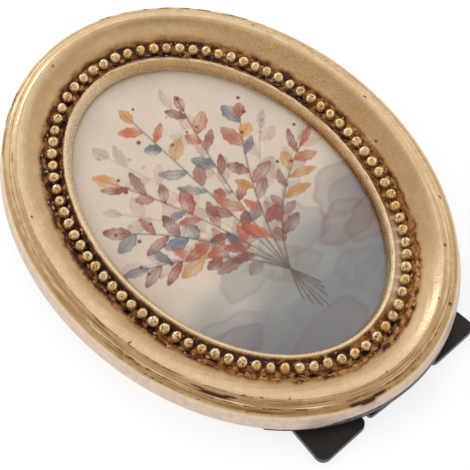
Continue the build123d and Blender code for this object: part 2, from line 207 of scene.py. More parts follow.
# Edge of the wash outside the beads, how dark it is outside and inside them, its edge inside them, and how far the rust
# goes past it, each by the turn in degrees
WASH_EDGE = [(-180, 4.7), (-150, 4.7), (-120, 5.1), (-90, 5.6), (-75, 6.0), (-58, 5.2), (-30, 4.3), (0, 4.0), (30, 3.8),
             (60, 3.7), (90, 3.6), (120, 4.2), (150, 4.7), (180, 4.7)]
WASH_OUTSIDE = [(-180, 0.3), (-155, 0.05), (-144, -0.15), (-126, -0.4), (-116, 0.0), (-92, 0.15), (-74, 0.05),
                (-58, -0.2), (-30, -0.15), (0, 0.1), (32, 0.3), (52, 0.5), (75, 0.55), (92, 0.4), (116, 0.4),
                (130, 0.35), (150, 0.5), (168, 0.55), (180, 0.3)]
WASH_INSIDE = [(-180, 1.0), (-140, 0.85), (-118, 0.6), (-100, 0.4), (-84, -0.4), (-62, -1.1), (-45, -1.0), (-30, -0.5),
               (-8, 0.1), (30, 0.4), (60, 0.3), (95, 0.3), (130, 0.3), (150, 0.8), (180, 1.0)]
WASH_INNER = [(-180, -3.65), (-90, -3.65), (-40, -3.9), (10, -4.25), (100, -4.25), (150, -3.9), (180, -3.65)]
RUST_REACH = [(-180, 1.4), (-110, 1.2), (-75, 0.9), (-55, 1.0), (0, 1.8), (35, 2.8), (55, 4.2), (75, 3.8),
              (95, 2.4), (115, 1.5), (180, 1.4)]


def bells(turn, out, bands):
    """The greatest of the bells exp(-(turn off the band / half length)^4 - (out off it / half width)^2), weighted."""
    total = np.zeros(out.shape)
    for distance, half_width, at, half_length, weight in bands:
        away = (turn - at + 180) % 360 - 180
        total = np.maximum(total, weight * np.exp(-((away / half_length) ** 4) - ((out - distance) / half_width) ** 2))
    return total


def gilding_marks(turn, out, height, u, v):
    """What the antique wash and the wear leave on the moulding, and where light and shade are painted on it, each from
    0 to 1 at a point. The wash fills the channel as far as an edge that wanders; past it the rust dies away, on it
    stands a thin rim, and inside it dark patches and gold crumbs are where slow and fast sums of waves pass a level.
    Soot and creases are bells about their places. Painted highlights lie along the edges, in the channel and on the
    cove, painted reflections in streaks along the shoulder and the outer cove, and painted shade at the foot of the
    slope to the glass;
    a grey band runs low on the wall over the stand's feet."""
    rng = np.random.default_rng(5)
    face = smooth(8.9, 9.4, height)
    drift = 0.35 * ripple(rng, u, v, 60, 3, 40) + 0.2 * ripple(rng, u, v, 190, 9, 60)
    patch = ripple(rng, u, v, 80, 18, 70)
    crumb = ripple(rng, u + 0.0012 * patch, v + 0.003 * drift, 190, 34, 90)
    streak = ripple(rng, u, v, 12, 32, 60)
    past = out + drift - np.interp(turn, *zip(*WASH_EDGE))
    outside = smooth(-1.4, 1.4, out)
    inner = np.interp(turn, *zip(*WASH_INSIDE))
    within = out + 0.4 * drift - np.interp(turn, *zip(*WASH_INNER))
    spared = (1 - outside) * smooth(-0.4, -1.0, inner)
    wash = smooth(0.35, -0.5, past) * smooth(-0.3, 0.35, within) * (1 - spared)
    rust = smooth(1, 0, past / np.interp(turn, *zip(*RUST_REACH))) * smooth(-0.7, 0, within) * (0.9 + 0.25 * patch)
    rust = rust * (1 - spared)
    rim = np.exp(-((past + 0.15) / 0.32) ** 2) * smooth(-0.7, 0.3, patch)
    level = np.interp(turn, *zip(*WASH_OUTSIDE)) * outside + inner * (1 - outside)
    dark = np.maximum(wash * smooth(0.0, 0.5, level + 0.5 * patch), 0.85 * rim)
    fleck = wash * smooth(0.9, 1.5, crumb + 0.35 * patch - 0.25 * level)
    # The outer cove's darker bands take the rust layer's colours
    rust = np.maximum(rust, bells(turn, out, OUTER_COVE_DARKER) * (0.8 + 0.3 * patch))
    per_degree = 2 * np.pi * 68 / 360
    soot = bells(turn, out, [(mark[1], mark[3], mark[0], mark[2] / per_degree, 1.0) for mark in SOOT_MARKS])
    crease = bells(turn, out, CREASES) * smooth(-0.9, 0.5, patch + 0.4 * crumb)
    # Dark streaks across the outer cove, laid in the crease layer, are painted dark reflections
    crease = np.maximum(crease, 0.5 * smooth(0.5, 1.3, streak) * smooth(15.8, 16.6, out) * smooth(19.6, 18.8, out))
    near = np.interp(turn, *zip(*BRUSHED))
    # Rubbed gilding along the shoulder's inner edge, the lip and the roll, widened into painted highlights
    rubbed_and_highlight = 0.8 * (1.1 - near) * np.exp(-((out - 13.8) / 0.85) ** 2) + np.exp(-((out + 4.75) / 0.6) ** 2) + np.exp(-((out - 19.6) / 0.5) ** 2)
    # Painted highlights in the channel inside the beads where the wash is spared, and on the listed places of the cove
    rubbed_and_highlight = rubbed_and_highlight + spared * np.exp(-((out + 2.9) / 1.5) ** 2) + bells(turn, out, PAINTED_HIGHLIGHTS)
    # Painted highlight on the slope down to the glass round the oval's upper left
    rubbed_and_highlight = rubbed_and_highlight + 0.7 * smooth(-5.0, -5.6, out) * smooth(70, 105, turn) * smooth(180, 160, turn)
    # Where the shoulder and the lip carry brush streaks with their painted reflections and highlights, and a smoother
    # polish
    brushed_and_sheen = near * smooth(12.6, 13.8, out) * smooth(20.2, 19.4, out) + 0.25 * smooth(-4.2, -4.8, out)
    sand = np.interp(turn, *zip(*SAND)) * smooth(-5, 4, out)
    # Painted shade: the slope down to the glass turns brown towards its foot
    foot = smooth(-5.2, -5.8, out) * smooth(13.2, 9.6, height) * np.interp(turn, *zip(*FOOT_SHADE))
    wall = smooth(18.9, 19.9, out) * smooth(13.95, 13.2, height)
    # A grey band low on the outer wall over the stand's feet, up to 3.2 mm high about the oval's foot
    grey_top = 6 + 3.2 * smooth(-122, -106, turn) * smooth(-66, -84, turn)
    grey = smooth(0.25, -0.25, height - grey_top) * wall
    marks = {"wash": wash, "rust": np.clip(rust, 0, 1), "dark": dark, "fleck": fleck, "soot": soot, "crease": crease,
             "rubbed_and_highlight": np.clip(rubbed_and_highlight, 0, 1), "brushed_and_sheen": brushed_and_sheen, "foot": foot, "sand": sand, "wall": wall, "grey": grey}
    return {key: value * face if key not in ("wall", "grey") else value for key, value in marks.items()}


def moulding_surface():
    """The moulding: its section carried round the bead line, at each point place + out * distance and the section's
    height, with the face sunk by up to a twentieth of a millimetre in slow waves, as hand-finished gilding is. Besides
    the marks it carries girth, the way run across the section in millimetres."""
    rng = np.random.default_rng(7)
    share = np.arange(ROUND_STEPS) / ROUND_STEPS
    t, places, out = even_oval(share)
    section = moulding_section(SECTION_STEPS)
    u, v = share[:, None], (np.arange(SECTION_STEPS) / SECTION_STEPS)[None, :]
    sink = 0.025 * smooth(9.0, 10.0, section[:, 1]) * (1 + np.clip(ripple(rng, u, v, 40, 40, 26), -1, 1))
    outer = smooth(19, 20, section[:, 0])
    across = section[:, 0] - sink * outer
    height = section[:, 1] - sink * (1 - outer)
    flat = places[:, None, :] + out[:, None, :] * across[:, :, None]
    points = np.concatenate([flat, height[:, :, None]], -1).reshape(-1, 3)
    turn = (np.degrees(t)[:, None] + 180) % 360 - 180 + 0 * across
    marks = gilding_marks(turn, across, height, u, v)
    lengths = np.hypot(*np.diff(section, axis=0).T)
    marks["girth"] = np.concatenate([[0], np.cumsum(lengths)])[None, :] + 0 * across
    return points, grid_faces(ROUND_STEPS, SECTION_STEPS, True, True), marks


def bead_surfaces():
    """The beads: spheres at equal steps along the bead line, each with its own size and a slow unevenness of two or
    three waves round and up it, so that no two mirror alike. A bead is rings between its two poles, which are single
    points. Carries the height on the bead, from -1 to 1, and each bead's own tone."""
    rng = np.random.default_rng(11)
    share = (np.arange(BEAD_COUNT) + BEAD_START) / BEAD_COUNT
    _, places, out = even_oval(share)
    along = np.stack([-out[:, 1], out[:, 0]], -1)
    turn, rise = np.meshgrid(
        np.arange(BEAD_ROUND) / BEAD_ROUND * 2 * np.pi, np.linspace(-np.pi / 2, np.pi / 2, BEAD_RISE)[1:-1])
    turn, rise = np.append(turn, [0, 0]), np.append(rise, [-np.pi / 2, np.pi / 2])
    ring = np.cos(rise)
    unit = np.stack([ring * np.cos(turn), ring * np.sin(turn), np.sin(rise)], -1)
    size = BEAD_RADIUS * rng.uniform(0.98, 1.05, (BEAD_COUNT, 1))
    phase = rng.uniform(0, 2 * np.pi, (3, BEAD_COUNT, 1))
    swell = np.sin(2 * turn + phase[0]) * ring + np.sin(3 * turn + phase[1]) * ring ** 2 + np.sin(3 * rise + phase[2])
    radius = size * (1 + 0.03 * swell)
    shift = rng.uniform(-0.14, 0.14, (BEAD_COUNT, 2))
    middle = places + out * shift[:, :1] + along * shift[:, 1:]
    flat = middle[:, None, :] + radius[..., None] * unit[None, :, :2]
    up = BEAD_LEVEL + radius * unit[:, 2]
    points = np.concatenate([flat, up[..., None]], -1).reshape(-1, 3)
    quads = grid_faces(BEAD_RISE - 2, BEAD_ROUND, False, True)[:, ::-1]
    low = np.arange(BEAD_ROUND)
    high, count = low + (BEAD_RISE - 3) * BEAD_ROUND, len(unit)
    foot = np.stack([np.roll(low, -1), low, np.full(BEAD_ROUND, count - 2)], -1)
    crown = np.stack([high, np.roll(high, -1), np.full(BEAD_ROUND, count - 1)], -1)
    starts = (np.arange(BEAD_COUNT) * count)[:, None, None]
    faces = [*(starts + quads).reshape(-1, 4).tolist()]
    faces += [*(starts + np.concatenate([foot, crown])).reshape(-1, 3).tolist()]
    lift = np.broadcast_to(unit[:, 2], radius.shape)
    tone = np.broadcast_to(rng.uniform(0, 1, (BEAD_COUNT, 1)), radius.shape)
    return points, faces, {"lift": lift, "tone": tone}


def ink_colours(x, y):
    """The print: cream that cools to grey and blots below, and a bunch of seven leafy stems that cross low on the sheet and open
    like a fan, over a paler fan of the same. A leaf is the set |q| < w (4 p (1 - p))^0.8, with p along it and q across
    it, and each is laid over what is there with a soft edge and uneven strength, as water colour is."""
    rng = np.random.default_rng(23)
    cream, mist, twig = (np.array(linear(code)[:3]) for code in ("#EAD5C4", "#8C8C8E", "#5E4436"))
    warm = np.array([linear(code)[:3] for code in ("#A83220", "#CC5A26", "#D8923F", "#8C261E", "#BE6238", "#6C6C7C")])
    cool = np.array([linear(code)[:3] for code in ("#B0605A", "#737484", "#9C4A44", "#5A6272", "#8E766A", "#803834")])
    cloud = ripple(rng, x / 180, y / 180, 9, 9, 24)
    ink = cream + (mist - cream) * smooth(-2, -54, y + 5 * cloud - 0.15 * x)[:, None]
    ink = ink * (1 + 0.025 * cloud[:, None])

    def lay(mask, colour):
        nonlocal ink
        ink = ink + (colour - ink) * mask[:, None]

    blots = np.random.default_rng(29)
    for _ in range(22):
        middle, size, phase = blots.uniform((-42, -68), (44, -24)), blots.uniform(7, 17), blots.uniform(0, 6, 2)
        along, across = x - middle[0], 1.5 * (y - middle[1])
        way = np.arctan2(across, along)
        edge = size * (1 + 0.1 * np.sin(3 * way + phase[0]) + 0.05 * np.sin(7 * way + phase[1])) - np.hypot(along, across)
        lay(0.36 * smooth(-0.8, 0.8, edge) * (0.45 + 0.55 * smooth(4, 0, edge)), cool[blots.choice((1, 1, 3, 4, 5))])
    s = np.linspace(-0.22, 1, 400)
    for strong, stems, count in ((0.35, 6, 9), (1.0, 7, 12)):
        for lean in np.linspace(-0.8, 0.8, stems) + rng.normal(0, 0.04, stems):
            reach = 100 - 58 * abs(lean) + rng.normal(0, 3)
            bend = lean * (0.62 + 0.5 * s)
            stem_x, stem_y = reach * s * np.sin(bend), -36 + reach * s * np.cos(bend)
            way = np.unwrap(np.arctan2(np.gradient(stem_y), np.gradient(stem_x)))
            near = np.min(np.hypot(x[:, None] - stem_x[None, ::2], y[:, None] - stem_y[None, ::2]), 1)
            lay(strong * 0.7 * smooth(0.6, 0.15, near), twig)
            for k in range(count):
                at = int(np.interp((k + rng.uniform(0.1, 0.9)) / count, [0, 1], [130, 395]))
                slant = way[at] + (-1) ** k * rng.uniform(0.45, 1.0) * (k < count - 1)
                length, width = rng.uniform(7, 13), rng.uniform(1.6, 3.0)
                along, across = x - stem_x[at], y - stem_y[at]
                p = (along * math.cos(slant) + across * math.sin(slant)) / length
                q = across * math.cos(slant) - along * math.sin(slant) - rng.normal(0, 1.6) * (p - 0.5) ** 2
                inside = np.clip(p * (1 - p), 0, 1)
                edge = width * (4 * inside) ** 0.8 * (1 + 0.1 * np.sin(22 * p)) - np.abs(q)
                tones = warm if rng.uniform() < s[at] + 0.15 else cool
                colour = tones[rng.integers(6)] * rng.uniform(0.85, 1.15)
                uneven = 0.85 + 0.25 * ripple(rng, x / 40, y / 40, 5, 5, 8) + 0.15 * np.sin(40 * p - 5 * np.abs(q))
                pool = 0.8 + 0.3 * smooth(1.0, 0.1, edge)
                lay(np.clip(smooth(-0.25, 0.3, edge) * (inside > 0) * strong * uneven * pool, 0, 1), colour)
                lay(strong * 0.45 * smooth(0.32, 0.08, np.abs(q)) * (inside > 0.012), colour * 0.5)
            for k in range(3):
                bud_x, bud_y = stem_x[-1 - 35 * k] + rng.normal(0, 3), stem_y[-1 - 35 * k] + rng.normal(0, 3)
                lay(strong * smooth(0.3, -0.2, np.hypot(x - bud_x, y - bud_y) - rng.uniform(0.5, 0.9)), warm[3] * 0.8)
    return np.clip(ink, 0.005, 1)


def print_surface():
    """The print's face: a square grid drawn out to the oval by x = u sqrt(1 - v^2 / 2), y = v sqrt(1 - u^2 / 2), and
    below it the same rim dropped by the sheet's thickness and shut by one flat face."""
    u, v = np.meshgrid(np.linspace(-1, 1, PRINT_ACROSS), np.linspace(-1, 1, PRINT_UP), indexing="ij")
    ring_x, ring_y = u * np.sqrt(1 - v * v / 2), v * np.sqrt(1 - u * u / 2)
    turn = np.arctan2(ring_y, ring_x)
    reach = np.hypot(ring_x, ring_y)
    slope = np.hypot(OVAL_HALF_HEIGHT * np.cos(turn), OVAL_HALF_WIDTH * np.sin(turn))
    x = reach * (OVAL_HALF_WIDTH * np.cos(turn) + PRINT_OUT * OVAL_HALF_HEIGHT * np.cos(turn) / slope)
    y = reach * (OVAL_HALF_HEIGHT * np.sin(turn) + PRINT_OUT * OVAL_HALF_WIDTH * np.sin(turn) / slope)
    top = np.stack([x.ravel(), y.ravel(), np.full(x.size, PRINT_REAR + PRINT_THICK)], -1)
    index = np.arange(x.size).reshape(x.shape)
    rim = np.concatenate([index[:, 0], index[-1, 1:], index[-2::-1, -1], index[0, -2:0:-1]])
    below = top[rim] - np.array([0, 0, PRINT_THICK])
    low = x.size + np.arange(len(rim))
    sides = np.stack([rim, low, np.roll(low, -1), np.roll(rim, -1)], -1)
    faces = [*grid_faces(PRINT_ACROSS, PRINT_UP, False, False).tolist(), *sides.tolist(), low[::-1].tolist()]
    points = np.concatenate([top, below])
    return points, faces, ink_colours(points[:, 0], points[:, 1])


def gilt_material():
    """Cast moulding, gilded in pale gold and worn back by rubbing, with a brown antique wash left in the bead channel:
    satin metal with a sandy grain, reddish fringes where the wash thins out, and a duller pinkish wall, with painted
    highlights, painted dark reflections in streaks and painted brown shade at the foot of the slope to the glass."""
    material, tree = new_material("gilding_and_painted_light_on_cast_moulding")
    where = add(tree, "ShaderNodeTexCoord").outputs["Object"]
    read = {
        key: add(tree, "ShaderNodeAttribute", attribute_name=key).outputs["Fac"]
        for key in ("wash", "rust", "dark", "fleck", "soot", "crease", "rubbed_and_highlight", "brushed_and_sheen", "foot", "sand", "wall", "grey", "girth")
    }
    # Brush strokes that follow the moulding: about 22 mm long and 0.6 mm wide. Where the shoulder is brushed, their
    # dark bands are also painted dark reflections, and the pale glints between them are painted highlights
    spot = add(tree, "ShaderNodeSeparateXYZ", {0: where}).outputs
    girth = add(tree, "ShaderNodeMath", {0: read["girth"], 1: 0.022 / 0.6}, operation="MULTIPLY").outputs[0]
    lie = add(tree, "ShaderNodeCombineXYZ", {0: spot["X"], 1: spot["Y"], 2: girth}).outputs[0]
    stroke = add(tree, "ShaderNodeTexNoise", {"Vector": lie, "Scale": 1000 / 22, "Detail": 4.0}).outputs[0]
    drawn = add(tree, "ShaderNodeMapRange", {0: stroke, 1: 0.52, 2: 0.68, 3: 0.0, 4: 0.9}).outputs[0]
    brush_streaks_and_dark_reflections = add(tree, "ShaderNodeMath", {0: drawn, 1: read["brushed_and_sheen"]}, operation="MULTIPLY").outputs[0]
    painted_glint_streaks = add(tree, "ShaderNodeMapRange", {0: stroke, 1: 0.46, 2: 0.34, 3: 0.0, 4: 0.8}).outputs[0]
    glints = add(tree, "ShaderNodeMath", {0: painted_glint_streaks, 1: read["brushed_and_sheen"]}, operation="MULTIPLY").outputs[0]
    # Clouds of 12 mm, patches of 3 mm, ragged edges of 1.6 mm, and a casting's grain drawn at 0.8 mm so that it shows
    clouds = add(tree, "ShaderNodeTexNoise", {"Vector": where, "Scale": 1000 / 12, "Detail": 3.0}).outputs[0]
    patch = add(tree, "ShaderNodeTexNoise", {"Vector": where, "Scale": 1000 / 3, "Detail": 4.0}).outputs[0]
    grain = add(tree, "ShaderNodeTexNoise", {"Vector": where, "Scale": 1000 / 0.8, "Detail": 2.0}).outputs[0]
    ragged = add(tree, "ShaderNodeTexNoise", {"Vector": where, "Scale": 1000 / 1.6, "Detail": 5.0}).outputs[0]
    cloudy = add(tree, "ShaderNodeMapRange", {0: clouds, 1: 0.35, 2: 0.68}).outputs[0]
    coarse = add(tree, "ShaderNodeMapRange", {0: grain, 1: 0.42, 2: 0.66, 3: 0.0, 4: 0.6}).outputs[0]
    sandy = add(tree, "ShaderNodeMath", {0: coarse, 1: read["sand"]}, operation="MULTIPLY").outputs[0]
    uneven = add(tree, "ShaderNodeMapRange", {0: patch, 1: 0.35, 2: 0.65}).outputs[0]
    mottled = add(tree, "ShaderNodeMapRange", {0: ragged, 1: 0.38, 2: 0.62}).outputs[0]
    stain = add(tree, "ShaderNodeMapRange", {0: read["soot"], 1: 0.0, 2: 0.4, 3: 0.0, 4: 0.75}).outputs[0]
    core = add(tree, "ShaderNodeMapRange", {0: read["soot"], 1: 0.35, 2: 0.7}).outputs[0]
    # Layers from the bottom up: what covers it, where, how far its edge is frayed, and its two tones between patches.
    # The streaks and glints carry painted dark reflections and painted highlights, the rubbed layer painted highlights
    # besides wear, and the foot layer painted shade
    layers = [
        ("gold", cloudy, 0.0, "#E6C597", "#F1D6AE"), ("sand", sandy, 0.0, "#BE9158", "#C9A06A"),
        ("brush_streaks_and_dark_reflections", brush_streaks_and_dark_reflections, 0.0, "#8A5722", "#B98A48"), ("glints", glints, 0.0, "#F8DFAC", "#FFF0CE"),
        ("rubbed_and_highlight", read["rubbed_and_highlight"], 0.0, "#FADDB0", "#FFEBC8"),
        ("foot", read["foot"], 0.0, "#84481C", "#A2652E"), ("wall", read["wall"], 0.0, "#DFC4AF", "#EBD6C5"),
        ("grey", read["grey"], 0.3, "#4A4248", "#766B70"), ("rust", read["rust"], 0.0, "#7A3F19", "#AE6E36"),
        ("wash", read["wash"], 0.25, "#7E4420", "#CE9450"), ("dark", read["dark"], 0.45, "#1C0F1A", "#5E331E"),
        ("fleck", read["fleck"], 0.5, "#C99D66", "#EBCB98"), ("crease", read["crease"], 0.35, "#45290F", "#6A4527"),
        ("stain", stain, 0.0, "#7A4420", "#935A2A"), ("core", core, 0.3, "#2A191C", "#45291F"),
    ]
    torn = add(tree, "ShaderNodeMapRange", {0: ragged, 1: 0.32, 2: 0.68, 3: -0.5, 4: 0.5}).outputs[0]
    colour = linear("#E3C397")
    for name, cover, fray, low, high in layers:
        if fray:
            pulled = add(tree, "ShaderNodeMath", {0: torn, 1: fray, 2: cover}, operation="MULTIPLY_ADD").outputs[0]
            ring = add(tree, "ShaderNodeMapRange", {0: pulled, 1: 0.3, 2: 0.7}, interpolation_type="SMOOTHSTEP").outputs[0]
            near = add(tree, "ShaderNodeMapRange", {0: cover, 1: 0.0, 2: 0.1}).outputs[0]
            cover = add(tree, "ShaderNodeMath", {0: ring, 1: near}, operation="MULTIPLY").outputs[0]
        spread = mottled if fray else uneven
        tone = add(tree, "ShaderNodeMix", {0: spread, 6: linear(low), 7: linear(high)}, data_type="RGBA")
        laid = add(tree, "ShaderNodeMix", {0: cover, 6: colour, 7: tone.outputs[2]}, data_type="RGBA", label=name)
        colour = laid.outputs[2]
    thick = add(tree, "ShaderNodeMath", {0: read["dark"], 1: core}, operation="MAXIMUM").outputs[0]
    shine = add(tree, "ShaderNodeMapRange", {0: thick, 3: 0.9, 4: 0.1}).outputs[0]
    veil = add(tree, "ShaderNodeMath", {0: read["wash"], 1: read["wall"]}, operation="MAXIMUM").outputs[0]
    duller = add(tree, "ShaderNodeMapRange", {0: veil, 3: 1.0, 4: 0.4}).outputs[0]
    # Less metal where the gilding is rubbed and where highlights are painted, so that they show pale
    worn = add(tree, "ShaderNodeMapRange", {0: read["rubbed_and_highlight"], 3: 1.0, 4: 0.32}).outputs[0]
    metal = add(tree, "ShaderNodeMath", {0: shine, 1: duller}, operation="MULTIPLY").outputs[0]
    metal = add(tree, "ShaderNodeMath", {0: metal, 1: worn}, operation="MULTIPLY").outputs[0]
    satin = add(tree, "ShaderNodeMapRange", {0: grain, 1: 0.3, 2: 0.7, 3: 0.22, 4: 0.36}).outputs[0]
    matt = add(tree, "ShaderNodeMapRange", {0: read["wall"], 3: 0.0, 4: 0.2}).outputs[0]
    polish = add(tree, "ShaderNodeMapRange", {0: read["brushed_and_sheen"], 3: 1.0, 4: 0.6}).outputs[0]
    rough = add(tree, "ShaderNodeMath", {0: satin, 1: polish, 2: matt}, operation="MULTIPLY_ADD").outputs[0]
    groove = add(tree, "ShaderNodeBump", {"Strength": 0.35, "Distance": 0.0002, "Height": brush_streaks_and_dark_reflections}).outputs[0]
    grit = add(tree, "ShaderNodeMapRange", {0: read["sand"], 3: 0.06, 4: 0.38}).outputs[0]
    fine = add(tree, "ShaderNodeBump", {"Strength": grit, "Distance": 0.0001, "Height": grain, "Normal": groove}).outputs[0]
    knobs = add(tree, "ShaderNodeMapRange", {0: read["sand"], 3: 0.14, 4: 0.3}).outputs[0]
    bump = add(tree, "ShaderNodeBump", {"Strength": knobs, "Distance": 0.0003, "Height": patch, "Normal": fine}).outputs[0]
    gilt = add(tree, "ShaderNodeBsdfPrincipled", {
        "Base Color": colour, "Metallic": metal, "Roughness": rough, "Normal": bump})
    add(tree, "ShaderNodeOutputMaterial", {0: gilt.outputs[0]})
    return material


def bead_material():
    """Cast beads in bright gilding: polished on top, each a little paler or browner, with the wash left low on them and
    painted shade on their lower halves; their pale patches are painted highlights.
    """
    material, tree = new_material("bright_gilding_and_painted_light_on_beads")
    where = add(tree, "ShaderNodeTexCoord").outputs["Object"]
    lift = add(tree, "ShaderNodeAttribute", attribute_name="lift").outputs["Fac"]
    tone = add(tree, "ShaderNodeAttribute", attribute_name="tone").outputs["Fac"]
    # Rubbing and painted highlights in patches of 1.5 mm, pits of 0.8 mm
    patch = add(tree, "ShaderNodeTexNoise", {"Vector": where, "Scale": 1000 / 1.5, "Detail": 3.0}).outputs[0]
    grain = add(tree, "ShaderNodeTexNoise", {"Vector": where, "Scale": 1000 / 0.8, "Detail": 1.0}).outputs[0]
    # Each bead goes brown towards its foot: wash left low on it and painted shade
    high = add(tree, "ShaderNodeMath", {0: lift, 1: patch}, operation="ADD").outputs[0]
    clean_and_lit = add(tree, "ShaderNodeMapRange", {0: high, 1: 0.0, 2: 0.6}, interpolation_type="SMOOTHSTEP").outputs[0]
    gold = add(tree, "ShaderNodeMix", {0: tone, 6: linear("#E6B56E"), 7: linear("#FCDDA4")}, data_type="RGBA")
    # Pale patches on the beads are painted highlights
    pale = add(tree, "ShaderNodeMapRange", {0: patch, 1: 0.53, 2: 0.4, 3: 0.0, 4: 0.9}).outputs[0]
    rubbed_and_highlight = add(tree, "ShaderNodeMix", {0: pale, 6: gold.outputs[2], 7: linear("#FFEFCC")}, data_type="RGBA")
    pits = add(tree, "ShaderNodeMapRange", {0: grain, 1: 0.59, 2: 0.66, 3: 0.0, 4: 0.9}).outputs[0]
    pitted = add(tree, "ShaderNodeMix", {0: pits, 6: rubbed_and_highlight.outputs[2], 7: linear("#4F2F18")}, data_type="RGBA")
    colour = add(tree, "ShaderNodeMix", {0: clean_and_lit, 6: linear("#6B4126"), 7: pitted.outputs[2]}, data_type="RGBA")
    metal = add(tree, "ShaderNodeMapRange", {0: clean_and_lit, 3: 0.3, 4: 0.82}).outputs[0]
    rough = add(tree, "ShaderNodeMapRange", {0: grain, 1: 0.3, 2: 0.7, 3: 0.08, 4: 0.17}).outputs[0]
    bump = add(tree, "ShaderNodeBump", {"Strength": 0.4, "Distance": 0.0003, "Height": patch})
    gilt = add(tree, "ShaderNodeBsdfPrincipled", {
        "Base Color": colour.outputs[2], "Metallic": metal, "Roughness": rough, "Normal": bump.outputs[0]})
    add(tree, "ShaderNodeOutputMaterial", {0: gilt.outputs[0]})
    return material


def print_material():
    """Matt art paper, printed: the ink of the sheet's own colours over a faint paper tooth."""
    material, tree = new_material("printed_art_paper")
    where = add(tree, "ShaderNodeTexCoord").outputs["Object"]
    ink = add(tree, "ShaderNodeAttribute", attribute_name="ink").outputs["Color"]
    # Paper tooth, drawn at 1.2 mm so that it shows
    tooth = add(tree, "ShaderNodeTexNoise", {"Vector": where, "Scale": 1000 / 1.2, "Detail": 3.0}).outputs[0]
    light = add(tree, "ShaderNodeMapRange", {0: tooth, 1: 0.3, 2: 0.7, 3: 0.96, 4: 1.03}).outputs[0]
    toned = add(tree, "ShaderNodeVectorMath", {0: ink, 1: light}, operation="MULTIPLY").outputs[0]
    paper = add(tree, "ShaderNodeBsdfPrincipled", {"Base Color": toned, "Roughness": 0.75})
    add(tree, "ShaderNodeOutputMaterial", {0: paper.outputs[0]})
    return material


def glass_material():
    """Float glass, clear with a faint green cast; lamps shine through it on to the print."""
    material, tree = new_material("clear_float_glass")
    pane = add(tree, "ShaderNodeBsdfPrincipled", {
        "Base Color": linear("#FBFDFB"), "Roughness": 0.0, "IOR": 1.5, "Transmission Weight": 1.0})
    open_way = add(tree, "ShaderNodeBsdfTransparent", {"Color": linear("#FBFDFC")})
    path = add(tree, "ShaderNodeLightPath").outputs["Is Shadow Ray"]
    mixed = add(tree, "ShaderNodeMixShader", {0: path, 1: pane.outputs[0], 2: open_way.outputs[0]})
    add(tree, "ShaderNodeOutputMaterial", {0: mixed.outputs[0]})
    return material


def board_material(name, face, worn, edge, size, rough):
    """Pressed fibre board under a thin black or brown coat: fibres a few millimetres long show through as a faint
    mottling, and the cut edges, where the coat is thin, are greyer; on the black board that grey is also a painted
    highlight."""
    material, tree = new_material(name)
    coords = add(tree, "ShaderNodeTexCoord")
    where = coords.outputs["Object"]
    stretched = add(tree, "ShaderNodeMapping", {"Vector": where, "Scale": (1.0, 0.35, 1.0)}).outputs[0]
    fibre = add(tree, "ShaderNodeTexNoise", {"Vector": stretched, "Scale": 1000 / size, "Detail": 4.0}).outputs[0]
    grain = add(tree, "ShaderNodeTexNoise", {"Vector": where, "Scale": 1000 / 0.5, "Detail": 2.0}).outputs[0]
    tone = add(tree, "ShaderNodeMapRange", {0: fibre, 1: 0.35, 2: 0.75}, interpolation_type="SMOOTHSTEP").outputs[0]
    flat = add(tree, "ShaderNodeMix", {0: tone, 6: linear(face), 7: linear(worn)}, data_type="RGBA").outputs[2]
    # Faces that stand upright take the edge colour: the thin coat on the cut edges and, for the black board, a painted
    # highlight
    up = add(tree, "ShaderNodeSeparateXYZ", {0: coords.outputs["Normal"]}).outputs["Z"]
    upright = add(tree, "ShaderNodeMath", {0: up}, operation="ABSOLUTE").outputs[0]
    side = add(tree, "ShaderNodeMapRange", {0: upright, 1: 0.8, 2: 0.4}, interpolation_type="SMOOTHSTEP").outputs[0]
    colour = add(tree, "ShaderNodeMix", {0: side, 6: flat, 7: linear(edge)}, data_type="RGBA").outputs[2]
    dull = add(tree, "ShaderNodeMapRange", {0: grain, 1: 0.3, 2: 0.7, 3: rough - 0.07, 4: rough + 0.07}).outputs[0]
    bump = add(tree, "ShaderNodeBump", {"Strength": 0.25, "Distance": 0.0001, "Height": grain}).outputs[0]
    board = add(tree, "ShaderNodeBsdfPrincipled", {"Base Color": colour, "Roughness": dull, "Normal": bump})
    add(tree, "ShaderNodeOutputMaterial", {0: board.outputs[0]})
    return material


def metal_material(name, bright, tarnish, rough, streak):
    """Rolled or turned metal hardware: fine streaks along one way and soft tarnish in clouds of about 4 mm."""
    material, tree = new_material(name)
    where = add(tree, "ShaderNodeTexCoord").outputs["Object"]
    drawn = add(tree, "ShaderNodeMapping", {"Vector": where, "Scale": streak}).outputs[0]
    lines = add(tree, "ShaderNodeTexNoise", {"Vector": drawn, "Scale": 1000 / 0.4, "Detail": 3.0}).outputs[0]
    clouds = add(tree, "ShaderNodeTexNoise", {"Vector": where, "Scale": 1000 / 4, "Detail": 3.0}).outputs[0]
    tone = add(tree, "ShaderNodeMapRange", {0: clouds, 1: 0.4, 2: 0.75}, interpolation_type="SMOOTHSTEP").outputs[0]
    colour = add(tree, "ShaderNodeMix", {0: tone, 6: linear(bright), 7: linear(tarnish)}, data_type="RGBA").outputs[2]
    dull = add(tree, "ShaderNodeMapRange", {0: lines, 1: 0.3, 2: 0.7, 3: rough - 0.08, 4: rough + 0.1}).outputs[0]
    bump = add(tree, "ShaderNodeBump", {"Strength": 0.2, "Distance": 0.00005, "Height": lines}).outputs[0]
    metal = add(tree, "ShaderNodeBsdfPrincipled", {
        "Base Color": colour, "Metallic": 1.0, "Roughness": dull, "Normal": bump})
    add(tree, "ShaderNodeOutputMaterial", {0: metal.outputs[0]})
    return material


